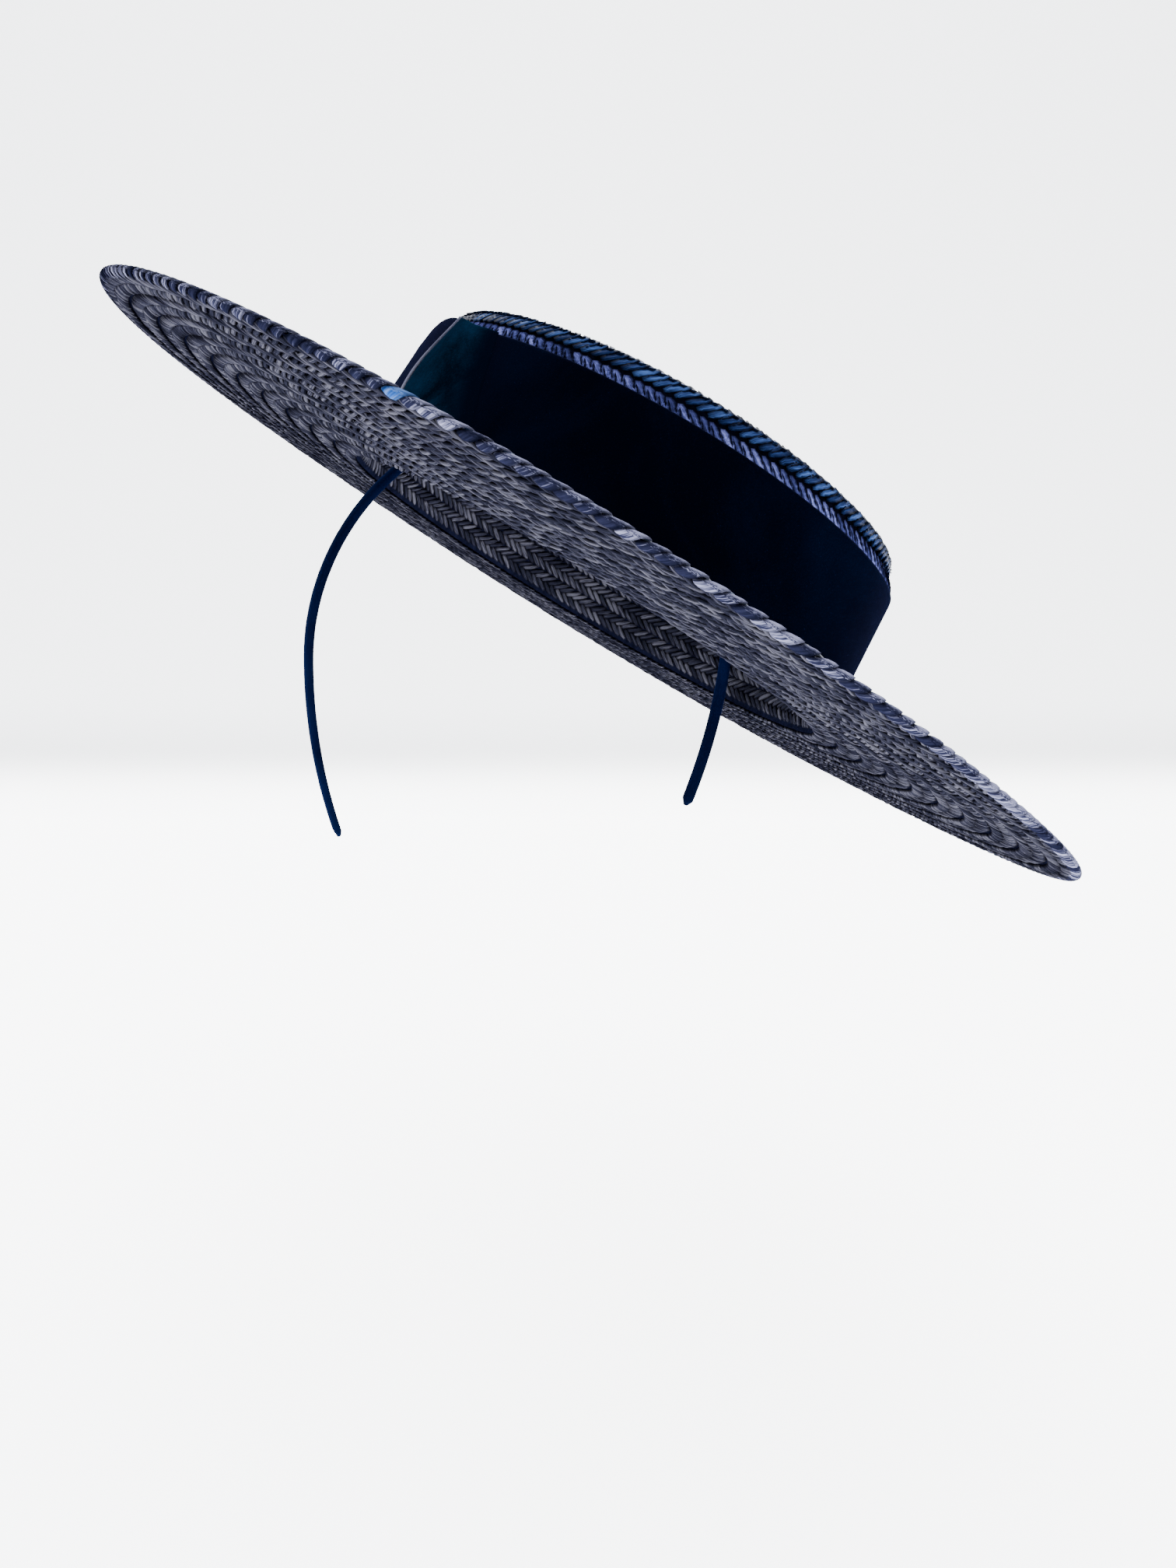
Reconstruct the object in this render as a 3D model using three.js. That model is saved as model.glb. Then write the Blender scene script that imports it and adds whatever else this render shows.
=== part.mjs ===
// Straw boater hat on a hairband: a flat wide brim and a low oval crown of sewn straw plait, a velvet ribbon
// round the crown with one overlapped end, and a slim covered hairband that carries the hat tilted.
// Millimetres, +Z up, +X the wearer's left, -Y the wearer's front. The origin is on the head's top, at the
// middle of the hairband's inner face.
import * as THREE from "three";
import { mergeVertices } from "three/addons/utils/BufferGeometryUtils.js";

// Crown, from the head opening that a 57 cm head needs
const openingLength = 198.4;
const openingWidth = 164.4;
const crownWall = 2.0;
const crownHeight = 55.1;
const crownDome = 0.8;
const tipThickness = 2.4;
const sideInset = 4.0;
const sideHeight = 43.9;
const tipRows = 9;
const shoulderSlope = 0.8;

// Brim
const brimWidth = 87.3;
const plaitThickness = 1.1;
const brimRows = 10;
const plaitRelief = 0.6;
const rowStep = 0.9;
const rimRound = 1.2;

// Small waves of the brim: how far its rim leaves the plane, waves per turn and where the first crest is
const brimWaves = [
  { height: 0.7, perTurn: 2, crestDeg: 97 },
  { height: 0.6, perTurn: 3, crestDeg: 6 },
];

// Ribbon round the crown, and its overlapped end
const ribbonThickness = 1.2;
const ribbonHeight = 44.6;
const lipLean = 0.1;
const endThickness = 1.0;
const endRise = 0.3;
const endFromDeg = 85;
const endToDegTop = 100.5;
const endToDegBase = 116;
const swellOut = 1.4;
const swellAtDeg = 72;
const swellHalfDeg = 34;

// Hairband: a half ellipse over the head and two arms that turn in below it
const bandInnerWidth = 151.4;
const bandRise = 74.7;
const bandArm = 61.0;
const armTurnIn = 10.4;
const bandWidth = 6.0;
const bandThickness = 2.4;
const bandLeanDeg = 10.4;
const roundedEnd = 0.7;

// How the hat sits on the hairband
const hatTiltDeg = 30.4;
const hatTurnDeg = 6;
const hatShift = 1.9;
const seam = 0.3;

const turnSteps = 56;
const archSteps = 34;
const armSteps = 9;

// The crown's upper edge: two rows of plait above the ribbon. out is the distance outside the tip's edge and
// down the distance under it, as shares of the shoulder's width and height.
const shoulderRows = [
  { out: 1.0, down: 1.0 },
  { out: 0.96, down: 0.75 },
  { out: 0.72, down: 0.48 },
  { out: 0.56, down: 0.44 },
  { out: 0.64, down: 0.37 },
  { out: 0.52, down: 0.16 },
  { out: 0.26, down: 0.03 },
];

// The hairband's rounded end: distance from the very end as a share of the band's width, and the width there
const bandEndRound = [
  { from: 0, wide: 0.3 },
  { from: 0.12, wide: 0.66 },
  { from: 0.32, wide: 0.92 },
];

const radians = THREE.MathUtils.degToRad;
const openingRadius = (openingLength + openingWidth) / 4;
const openingOval = (openingLength - openingWidth) / 4;
const crownFoot = seam;
const sideFootRadius = openingRadius + crownWall;
const sideTopRadius = sideFootRadius - sideInset;
const sideTop = crownFoot + sideHeight;
const shoulderWidth = crownHeight - sideTop;
const tipRadius = sideTopRadius - shoulderWidth * shoulderSlope;
const tipInside = crownHeight - tipThickness;

// Half the difference between an oval's two half axes where its mean radius is r
function ovalAt(r) {
  return openingOval * Math.min(1, r / openingRadius);
}

// The crown side's outer radius at a height, a straight slope from foot to shoulder
function sideRadiusAt(height) {
  const share = (height - crownFoot) / (sideTop - crownFoot);
  return THREE.MathUtils.lerp(sideFootRadius, sideTopRadius, share);
}

// Point of an oval of mean radius r at an angle from its back, turning towards the wearer's right
function ovalPoint(r, angle, height) {
  const half = ovalAt(r);
  return new THREE.Vector3(-(r - half) * Math.sin(angle), (r + half) * Math.cos(angle), height);
}

// How far the brim's wave lifts a point, growing from the crown out to the rim
function waveLift(r, angle) {
  const reach = Math.max(0, (r - sideFootRadius) / (brimWidth - crownWall));
  const crest = (w) => w.height * Math.cos(w.perTurn * (angle - radians(w.crestDeg)));
  return reach * reach * brimWaves.reduce((sum, w) => sum + crest(w), 0);
}

// One closed surface: shared vertices merged, flattened triangles dropped, smooth normals
function closed(geometry) {
  geometry.deleteAttribute("normal");
  geometry.deleteAttribute("uv");
  const merged = mergeVertices(geometry, 1e-3);
  const corners = [];
  const index = merged.index.array;
  for (let i = 0; i < index.length; i += 3) {
    const [a, b, c] = index.slice(i, i + 3);
    if (a !== b && b !== c && c !== a) corners.push(a, b, c);
  }
  merged.setIndex(corners);
  merged.computeVertexNormals();
  return merged;
}

// How far the ribbon stands off the crown near its join, most at its top edge
function swellAt(angle, height) {
  const off = Math.abs(angle - radians(swellAtDeg)) / radians(swellHalfDeg);
  const near = off < 1 ? Math.cos((off * Math.PI) / 2) ** 2 : 0;
  return swellOut * near * (height / ribbonHeight) ** 2;
}

// Turns a profile of [mean radius, height] points round the oval, with what standOff adds to the radius
function turned(profile, standOff = () => 0) {
  const points = profile.map(([r, height]) => new THREE.Vector2(r, height));
  const geometry = new THREE.LatheGeometry(points, turnSteps);
  const place = geometry.getAttribute("position");
  for (let i = 0; i < place.count; i += 1) {
    const x = place.getX(i);
    const y = -place.getZ(i);
    const r = Math.hypot(x, y);
    const angle = Math.atan2(-x, y);
    const height = place.getY(i) + waveLift(r, angle);
    const p = ovalPoint(r + standOff(angle, height), angle, height);
    place.setXYZ(i, p.x, p.y, p.z);
  }
  return closed(geometry);
}

// Joins rings of equal length into one skin, with both ends closed by a fan
function lofted(rings) {
  const count = rings[0].length;
  const centre = (ring) => ring.reduce((sum, p) => sum.add(p), new THREE.Vector3()).divideScalar(count);
  const points = [...rings.flat(), centre(rings[0]), centre(rings.at(-1))];
  const corners = [];
  for (let ring = 0; ring < rings.length - 1; ring += 1) {
    for (let i = 0; i < count; i += 1) {
      const a = ring * count + i;
      const b = ring * count + ((i + 1) % count);
      corners.push(a, b, a + count, b, b + count, a + count);
    }
  }
  const last = (rings.length - 1) * count;
  for (let i = 0; i < count; i += 1) {
    const next = (i + 1) % count;
    corners.push(points.length - 2, next, i);
    corners.push(points.length - 1, last + i, last + next);
  }
  const geometry = new THREE.BufferGeometry().setFromPoints(points);
  geometry.setIndex(corners);
  geometry.computeVertexNormals();
  return geometry;
}

// Brim: rows of plait lapped like shingles, each row's outer edge over the next one
function brimGeometry() {
  const pitch = (brimWidth - rimRound) / brimRows;
  const top = [];
  const under = [];
  for (let row = 0; row < brimRows; row += 1) {
    const inner = openingRadius + row * pitch;
    const outer = inner + pitch;
    top.push([inner, -plaitRelief], [outer, 0]);
    under.push([inner, -plaitRelief - plaitThickness], [outer, -plaitThickness]);
  }
  const rim = [[openingRadius + brimWidth, -plaitThickness / 2]];
  const outline = [...under, ...rim, ...top.reverse()];
  return turned([...outline, outline[0]]);
}

// Crown's side: a sloping wall and the two rows of its shoulder, open at both ends
function crownSideGeometry() {
  const shoulder = shoulderRows.map((row) => [
    tipRadius + (sideTopRadius - tipRadius) * row.out,
    crownHeight - shoulderWidth * row.down,
  ]);
  const wallSlope = (sideTopRadius - tipRadius) / (tipInside - sideTop);
  const inside = [
    [tipRadius, tipInside - crownWall / wallSlope],
    [sideTopRadius - crownWall, sideTop],
    [openingRadius, crownFoot],
  ];
  const outline = [[sideFootRadius, crownFoot], ...shoulder, [tipRadius, crownHeight], ...inside];
  return turned([...outline, outline[0]]);
}

// Crown's tip: a nearly flat disc of rows inside the shoulder
function crownTipGeometry() {
  const edge = tipRadius - seam;
  const pitch = edge / tipRows;
  const tip = [];
  for (let row = 0; row < tipRows; row += 1) {
    const outer = edge - row * pitch;
    const rise = (crownDome * row) / tipRows;
    tip.push([outer, crownHeight + rise]);
    tip.push([outer - pitch * rowStep, crownHeight + rise - plaitRelief / 2]);
  }
  tip.push([0, crownHeight + crownDome]);
  const outline = [[edge, tipInside], ...tip, [0, tipInside]];
  return turned([...outline, outline[0]]);
}

// Heights of the ribbon's rings and how far each leans in from the crown's own slope, as a share of the wall
const ribbonRings = [
  { up: 0, lean: 0 },
  { up: 0.25, lean: 0 },
  { up: 0.5, lean: 0 },
  { up: 0.75, lean: 0 },
  { up: 0.92, lean: 0 },
  { up: 1, lean: 0.6 },
];

// A ribbon layer's rings: mean radius and height of its face, lying outside the crown by a distance
function ribbonFace(outside, height) {
  return ribbonRings.map((ring) => {
    const up = crownFoot + height * ring.up;
    return [sideRadiusAt(Math.min(up, sideTop)) + outside - ribbonThickness * ring.lean, up];
  });
}

function ribbonGeometry() {
  const inner = ribbonFace(seam, ribbonHeight);
  const outer = ribbonFace(seam + ribbonThickness, ribbonHeight);
  inner[inner.length - 1][0] = inner[inner.length - 2][0] - lipLean;
  const outline = [...outer, ...inner.reverse()];
  return turned([...outline, outline[0]], swellAt);
}

// The ribbon's end: a flat layer over the join, square at its seam and slanted at its free edge
function ribbonEndGeometry() {
  const height = ribbonHeight + endRise;
  const inner = ribbonFace(2 * seam + ribbonThickness, height);
  const outer = ribbonFace(2 * seam + ribbonThickness + endThickness, height);
  inner[inner.length - 1][0] = inner[inner.length - 2][0];
  outer[outer.length - 1][0] = outer[outer.length - 2][0] - 3 * lipLean;
  const outline = [...inner, ...outer.reverse()];
  const columns = 8;
  const rings = [];
  for (let column = 0; column <= columns; column += 1) {
    rings.push(
      outline.map(([r, up]) => {
        const toDeg = THREE.MathUtils.lerp(endToDegBase, endToDegTop, up / height);
        const angle = THREE.MathUtils.lerp(radians(endFromDeg), radians(toDeg), column / columns);
        return ovalPoint(r + swellAt(angle, up), angle, up);
      }),
    );
  }
  return lofted(rings);
}

// Middle line of the hairband in its own XZ plane, from one end over the top to the other
const bandHalfWidth = (bandInnerWidth + bandThickness) / 2;
const bandHalfRise = bandRise + bandThickness / 2;

function archPoint(angle) {
  return new THREE.Vector2(bandHalfWidth * Math.sin(angle), bandHalfRise * Math.cos(angle) - bandRise);
}

function armPoint(below) {
  const turnIn = armTurnIn * (below / bandArm) ** 2;
  return new THREE.Vector2(bandHalfWidth - turnIn, -bandRise - below);
}

function bandStations() {
  const arm = [];
  for (const round of bandEndRound) {
    arm.push({ at: armPoint(bandArm - round.from * bandWidth), wide: round.wide });
  }
  const straight = bandArm - roundedEnd * bandWidth;
  for (let i = 0; i < armSteps; i += 1) {
    arm.push({ at: armPoint((straight * (armSteps - i)) / armSteps), wide: 1 });
  }
  const arch = [];
  for (let i = 0; i <= archSteps; i += 1) {
    arch.push({ at: archPoint(Math.PI * (0.5 - i / archSteps)), wide: 1 });
  }
  const mirrored = arm.map((s) => ({ at: new THREE.Vector2(-s.at.x, s.at.y), wide: s.wide })).reverse();
  return [...arm, ...arch, ...mirrored];
}

// The band's section: flat inside, a little crowned outside, with rounded edges. across is a share of the
// width and out a share of the thickness.
const bandSection = [
  { across: 0.36, out: -0.5 },
  { across: -0.36, out: -0.5 },
  { across: -0.5, out: -0.2 },
  { across: -0.5, out: 0.15 },
  { across: -0.3, out: 0.44 },
  { across: 0, out: 0.5 },
  { across: 0.3, out: 0.44 },
  { across: 0.5, out: 0.15 },
  { across: 0.5, out: -0.2 },
];

function hairbandGeometry() {
  const stations = bandStations();
  const rings = stations.map((station, i) => {
    const before = stations[Math.max(0, i - 1)].at;
    const after = stations[Math.min(stations.length - 1, i + 1)].at;
    const along = after.clone().sub(before).normalize();
    const outward = new THREE.Vector2(-along.y, along.x).multiplyScalar(-1);
    return bandSection.map((corner) => {
      const out = corner.out * bandThickness * Math.min(1, station.wide + 0.25);
      const across = corner.across * bandWidth * station.wide;
      return new THREE.Vector3(station.at.x + outward.x * out, across, station.at.y + outward.y * out);
    });
  });
  return lofted(rings);
}

function piece(name, geometry, color, roughness) {
  const mesh = new THREE.Mesh(geometry, new THREE.MeshStandardMaterial({ color, roughness, metalness: 0 }));
  mesh.name = name;
  return mesh;
}

// The hairband touches the hat inside its tip, where the arch's outward normal is the hat's axis. The hat's
// middle is moved a little to the wearer's left of that spot.
function hatPlace() {
  const tilt = radians(hatTiltDeg);
  const touch = Math.atan((bandHalfWidth / bandHalfRise) * Math.tan(tilt));
  const at = archPoint(touch);
  const drop = tipInside - seam - bandThickness / 2;
  const x = at.x - drop * Math.sin(tilt) + hatShift * Math.cos(tilt);
  const z = at.y - drop * Math.cos(tilt) - hatShift * Math.sin(tilt);
  return new THREE.Vector3(x, 0, z);
}

const hat = new THREE.Group();
hat.add(
  piece("brim", brimGeometry(), 0x1d2440, 0.45),
  piece("crown_side", crownSideGeometry(), 0x1f2c58, 0.4),
  piece("crown_tip", crownTipGeometry(), 0x1f2c58, 0.4),
  piece("ribbon_band", ribbonGeometry(), 0x02050f, 0.9),
  piece("ribbon_end", ribbonEndGeometry(), 0x031420, 0.85),
);
hat.rotation.z = radians(hatTurnDeg);

const tilted = new THREE.Group();
tilted.add(hat);
tilted.position.copy(hatPlace());
tilted.rotation.y = radians(hatTiltDeg);

const leaned = new THREE.Group();
leaned.add(tilted, piece("hairband", hairbandGeometry(), 0x030a26, 0.85));
leaned.rotation.x = radians(bandLeanDeg);

const boater = new THREE.Group();
boater.add(leaned);

export default boater;
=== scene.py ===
"""Straw boater hat on a hairband: plaited straw, a velvet ribbon and a velvet covered hairband."""
import math

import bpy
import numpy as np
from mathutils import Matrix, Vector


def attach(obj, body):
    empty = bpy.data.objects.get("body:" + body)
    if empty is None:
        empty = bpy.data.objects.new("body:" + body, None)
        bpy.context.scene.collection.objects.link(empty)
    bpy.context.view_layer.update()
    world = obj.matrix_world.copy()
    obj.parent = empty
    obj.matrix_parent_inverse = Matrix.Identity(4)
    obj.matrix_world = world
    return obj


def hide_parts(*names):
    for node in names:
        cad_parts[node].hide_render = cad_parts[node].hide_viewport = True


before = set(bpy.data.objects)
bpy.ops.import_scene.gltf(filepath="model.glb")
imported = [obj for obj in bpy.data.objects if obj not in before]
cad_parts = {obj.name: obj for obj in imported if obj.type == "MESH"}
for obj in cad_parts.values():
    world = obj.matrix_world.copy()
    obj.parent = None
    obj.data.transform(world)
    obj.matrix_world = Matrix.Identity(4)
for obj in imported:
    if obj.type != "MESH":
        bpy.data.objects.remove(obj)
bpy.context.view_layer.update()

MM = 0.001
rng = np.random.default_rng(41)

# Sizes of the hat, in millimetres and degrees, as the solids have them
OPENING_RADIUS = 90.7
OPENING_OVAL = 8.5
CROWN_WALL = 2.0
CROWN_FOOT = 0.3
SIDE_HEIGHT = 43.9
SIDE_INSET = 4.0
CROWN_HEIGHT = 55.1
CROWN_DOME = 0.8
TIP_INSIDE = 52.7
TIP_ROWS = 9
BRIM_WIDTH = 87.3
BRIM_ROWS = 10
PLAIT_THICKNESS = 1.1
PLAIT_RELIEF = 0.6
RIM_ROUND = 1.2
BRIM_WAVES = ((0.7, 2, 97.0), (0.6, 3, 6.0))
RIBBON_HEIGHT = 44.6
RIBBON_THICKNESS = 1.2
END_THICKNESS = 1.0
END_FROM_DEG = 85.0
END_TOP_DEG = 100.5
END_BASE_DEG = 116.0
SWELL_OUT = 1.4
SWELL_AT_DEG = 72.0
SWELL_HALF_DEG = 34.0
BAND_INNER_WIDTH = 151.4
BAND_RISE = 74.7
BAND_ARM = 61.0
ARM_TURN_IN = 10.4
BAND_WIDTH = 6.0
BAND_THICKNESS = 2.4
SEAM = 0.3
LEAN_DEG = 10.4
TILT_DEG = 30.4
TURN_DEG = 6.0
HAT_SHIFT = 1.9

SIDE_FOOT_RADIUS = OPENING_RADIUS + CROWN_WALL
SIDE_TOP_RADIUS = SIDE_FOOT_RADIUS - SIDE_INSET
SIDE_TOP = CROWN_FOOT + SIDE_HEIGHT
SHOULDER_WIDTH = CROWN_HEIGHT - SIDE_TOP
TIP_RADIUS = SIDE_TOP_RADIUS - 0.8 * SHOULDER_WIDTH
BAND_HALF_WIDTH = (BAND_INNER_WIDTH + BAND_THICKNESS) / 2
BAND_HALF_RISE = BAND_RISE + BAND_THICKNESS / 2

# Where on the hairband's arch the crown's tip touches it
TILT = math.radians(TILT_DEG)
TOUCH = math.atan((BAND_HALF_WIDTH / BAND_HALF_RISE) * math.tan(TILT))


# Placing

def arch_point(angle):
    """A point of the hairband's middle line, for an angle from its top."""
    return np.array([BAND_HALF_WIDTH * math.sin(angle), BAND_HALF_RISE * math.cos(angle) - BAND_RISE])


def lean_matrix():
    return Matrix.Rotation(math.radians(LEAN_DEG), 4, "X")


def hat_matrix():
    """The hat's own frame in the row's, from how it sits on the hairband."""
    at = arch_point(TOUCH)
    drop = TIP_INSIDE - SEAM - BAND_THICKNESS / 2
    x = at[0] - drop * math.sin(TILT) + HAT_SHIFT * math.cos(TILT)
    z = at[1] - drop * math.cos(TILT) - HAT_SHIFT * math.sin(TILT)
    place = Matrix.Translation((x, 0, z))
    turned = place @ Matrix.Rotation(TILT, 4, "Y") @ Matrix.Rotation(math.radians(TURN_DEG), 4, "Z")
    return np.array(lean_matrix() @ turned)


HAT = hat_matrix()
LEAN = np.array(lean_matrix())


def placed(points, matrix):
    """Points in millimetres of a group's frame, as metres of the row's frame."""
    return (points @ matrix[:3, :3].T + matrix[:3, 3]) * MM


def wave_lift(r, angle):
    """The brim's slow waves, from nothing at the crown to their full height at the rim."""
    reach = np.clip((r - SIDE_FOOT_RADIUS) / (BRIM_WIDTH - CROWN_WALL), 0, None)
    crest = sum(h * np.cos(n * (angle - math.radians(at))) for h, n, at in BRIM_WAVES)
    return reach * reach * crest


def on_oval(r, angle, height):
    """Points of the hat, for a mean radius and an angle from its back towards the wearer's right."""
    half = OPENING_OVAL * np.minimum(1, r / OPENING_RADIUS)
    r, angle, height, half = np.broadcast_arrays(r, angle, height, half)
    x = -(r - half) * np.sin(angle)
    y = (r + half) * np.cos(angle)
    return np.stack([x, y, height + wave_lift(r, angle)], axis=-1)


def side_radius(height):
    """Mean radius of the crown's side."""
    share = (height - CROWN_FOOT) / (SIDE_TOP - CROWN_FOOT)
    return SIDE_FOOT_RADIUS + (SIDE_TOP_RADIUS - SIDE_FOOT_RADIUS) * share


# Meshes

def mesh_object(name, points, quads, material, attributes=None, group=HAT):
    """One piece, from points in millimetres of a group's frame and from faces with four corners."""
    mesh = bpy.data.meshes.new(name)
    flat = placed(points.reshape(-1, 3), group).astype(np.float32)
    quads = np.asarray(quads, dtype=np.int32)
    mesh.vertices.add(len(flat))
    mesh.vertices.foreach_set("co", flat.ravel())
    mesh.loops.add(quads.size)
    mesh.loops.foreach_set("vertex_index", quads.ravel())
    mesh.polygons.add(len(quads))
    mesh.polygons.foreach_set("loop_start", np.arange(0, quads.size, 4, dtype=np.int32))
    mesh.update(calc_edges=True)
    for key, values in (attributes or {}).items():
        layer = mesh.attributes.new(key, "FLOAT_VECTOR", "POINT")
        layer.data.foreach_set("vector", np.asarray(values, dtype=np.float32).ravel())
    mesh.validate()
    mesh.shade_smooth()
    mesh.materials.append(material)
    piece = bpy.data.objects.new(name, mesh)
    bpy.context.scene.collection.objects.link(piece)
    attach(piece, "root")
    return piece


def tube_quads(stations, corners):
    """Faces of a run of rings with an even number of corners, its two ends closed with quads."""
    faces = []
    for s in range(stations - 1):
        for c in range(corners):
            d = (c + 1) % corners
            faces.append((s * corners + c, s * corners + d, (s + 1) * corners + d, (s + 1) * corners + c))
    for ring, flip in ((0, True), (stations - 1, False)):
        for c in range(1, corners // 2):
            cap = [ring * corners + k for k in (c - 1, c, corners - 1 - c, corners - c)]
            faces.append(tuple(cap[::-1]) if flip else tuple(cap))
    return faces


def ring_quads(around, across):
    """Faces of a grid that closes round in both directions."""
    faces = []
    for i in range(around):
        j = (i + 1) % around
        for k in range(across):
            m = (k + 1) % across
            faces.append((i * across + k, i * across + m, j * across + m, j * across + k))
    return faces


def repeated(faces, count, size):
    """The faces of one shape of so many points, once for each of the shapes that follow one another."""
    return (np.array(faces)[None] + np.arange(count)[:, None, None] * size).reshape(-1, 4)


def ring_angles(corners):
    return np.arange(corners) * 2 * math.pi / corners + math.pi / corners


def squarer(wave, power):
    """A sine or cosine that turns a ring towards a square, the more so the smaller the power."""
    return np.sign(wave) * np.abs(wave) ** power


SHEET_STEPS = 240


def turned_piece(name, outline, material, steps=SHEET_STEPS, moved=None):
    """A closed profile turned round the oval."""
    outline = np.asarray(outline, float)
    angle = (np.arange(steps) * 2 * math.pi / steps)[:, None]
    r = outline[None, :, 0]
    z = outline[None, :, 1]
    if moved is not None:
        r, z = moved(r, angle, z)
    return mesh_object(name, on_oval(r, angle, z), ring_quads(steps, len(outline)), material)


# Rows of plait

STRAND_PITCH = 3.1
STRAND_WIDTH = 2.35
STRAND_SLANT = 5.4
STRAND_HEIGHT = 0.75
STRAND_LENGTH = 6.0
LEAST_STRANDS = 8

# Cross-section of a strand, and its width and lift at the stations from its edge end to its middle end
SECTION_ACROSS = np.array([-0.5, -0.22, 0.22, 0.5])
SECTION_UP = np.array([-0.25, 1.0, 1.0, -0.25])
STATION_AT = np.linspace(0.0, 1.07, 5)
STATION_WIDE = np.array([0.6, 0.95, 1.0, 0.97, 0.66])
STATION_LIFT = np.array([0.0, 0.86, 1.0, 0.84, -0.3])
SUNK = 0.4
PLUMP = 0.62

# How much one strand differs from the next
PLACE_SPREAD = 0.16
BOW_SPREAD = 0.12
WIDTH_RANGE = (0.86, 1.12)
HEIGHT_RANGE = (0.7, 1.2)

# How far to either side a slope is read, and how much of a strand's overrun is kept
SLOPE_STEP = 0.4
REACH_PAST = 0.6

# Strands stay this far from the middle of the tip
LEAST_RADIUS = 0.02


class Strands:
    """Collects strands of plait and makes one piece of them."""

    def __init__(self):
        self.points = []
        self.strand = []
        self.count = 0

    def add_row(
        self, profile, out_side, lift=1.0, pitch=STRAND_PITCH, halves=(0, 1), slant=STRAND_SLANT, fill=1.0
    ):
        """One row of plait whose width follows the profile of (mean radius, height) points.

        Two halves slant forward from the row's edges to its middle line.
        One half alone crosses the whole row.
        """
        profile = np.asarray(profile, float)
        steps = np.hypot(*np.diff(profile, axis=0).T)
        along = np.concatenate([[0], np.cumsum(steps)])
        width = along[-1]
        span = width / len(halves)
        full_width = STRAND_WIDTH * fill * pitch / STRAND_PITCH
        mean_radius = profile[:, 0].mean()
        units = max(LEAST_STRANDS, round(2 * math.pi * mean_radius / pitch))
        start = rng.uniform(0, 1)
        for half in halves:
            unit = np.arange(units) + start + 0.5 * half
            wobble = rng.normal(0, PLACE_SPREAD, units)
            centre_s = (unit * pitch + wobble)[:, None] + slant * STATION_AT[None, :]
            centre_w = span * STATION_AT if half == 0 else width - span * STATION_AT
            forward = np.array([slant, span if half == 0 else -span])
            forward /= np.hypot(*forward)
            wide = full_width * STATION_WIDE[None, :] * rng.uniform(*WIDTH_RANGE, units)[:, None]
            bow = rng.normal(0, BOW_SPREAD, units)[:, None] * np.sin(np.pi * STATION_AT)[None, :]
            high = rng.uniform(*HEIGHT_RANGE, units)[:, None] * STRAND_HEIGHT * lift
            aside = SECTION_ACROSS * wide[..., None] + bow[..., None]
            s = centre_s[..., None] - forward[1] * aside
            w = centre_w[None, :, None] + forward[0] * aside
            h = (STATION_LIFT[None, :, None] + SECTION_UP[None, None, :] - SUNK) * high[..., None] * PLUMP
            self._lay(profile, along, s / mean_radius, w, h, out_side)

    def _lay(self, profile, along, angle, w, h, out_side):
        """Lays points on a profile: w is the way along it, and h the height above it."""

        def at(way):
            return np.interp(way, along, profile[:, 0]), np.interp(way, along, profile[:, 1])

        width = along[-1]
        inside = np.clip(w, 0, width)
        over = w - inside
        r, z = at(inside)
        r_ahead, z_ahead = at(np.clip(inside + SLOPE_STEP, 0, width))
        r_behind, z_behind = at(np.clip(inside - SLOPE_STEP, 0, width))
        dr, dz = r_ahead - r_behind, z_ahead - z_behind
        size = np.hypot(dr, dz)
        dr, dz = dr / size, dz / size
        r = r + dr * over * REACH_PAST - dz * h * out_side
        z = z + dz * over * REACH_PAST + dr * h * out_side
        points = on_oval(np.maximum(r, LEAST_RADIUS), angle, z)
        if out_side < 0:
            points = points[:, :, ::-1]
        units = points.shape[0]
        tone = rng.uniform(0, 1, units)[:, None, None]
        texture = (STATION_AT[None, :, None] * STRAND_LENGTH, SECTION_ACROSS * STRAND_WIDTH, tone)
        self.points.append(points.reshape(-1, 3))
        self.strand.append(np.stack(np.broadcast_arrays(*texture), axis=-1).reshape(-1, 3))
        self.count += units

    def build(self, name, material):
        stations, corners = len(STATION_AT), len(SECTION_ACROSS)
        quads = repeated(tube_quads(stations, corners), self.count, stations * corners)
        attributes = {"strand": np.concatenate(self.strand)}
        return mesh_object(name, np.concatenate(self.points), quads, material, attributes)


# Materials

def new_material(name):
    material = bpy.data.materials.new(name)
    material.use_nodes = True
    tree = material.node_tree
    return material, tree, tree.nodes["Principled BSDF"]


def fill_inputs(tree, made, inputs):
    """Sets a node's inputs, each to a value or to another node's output."""
    for key, value in inputs.items():
        if isinstance(value, bpy.types.NodeSocket):
            tree.links.new(value, made.inputs[key])
        else:
            made.inputs[key].default_value = value


def wired(tree, kind, inputs, output=0, **settings):
    """Adds a node and gives one of its outputs."""
    made = tree.nodes.new(kind)
    for key, value in settings.items():
        setattr(made, key, value)
    fill_inputs(tree, made, inputs)
    return made.outputs[output]


def parts(tree, vector):
    """The three parts of a vector."""
    split = tree.nodes.new("ShaderNodeSeparateXYZ")
    tree.links.new(vector, split.inputs[0])
    return split.outputs["X"], split.outputs["Y"], split.outputs["Z"]


def object_place(tree):
    return wired(tree, "ShaderNodeTexCoord", {}, "Object")


def maths(tree, operation, *values):
    return wired(tree, "ShaderNodeMath", dict(enumerate(values)), operation=operation)


def noise(tree, place, scale, detail, roughness=0.5, distortion=0.0):
    """A noise texture's grey value."""
    inputs = {
        "Vector": place,
        "Scale": scale,
        "Detail": detail,
        "Roughness": roughness,
        "Distortion": distortion,
    }
    return wired(tree, "ShaderNodeTexNoise", inputs, "Fac")


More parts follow.
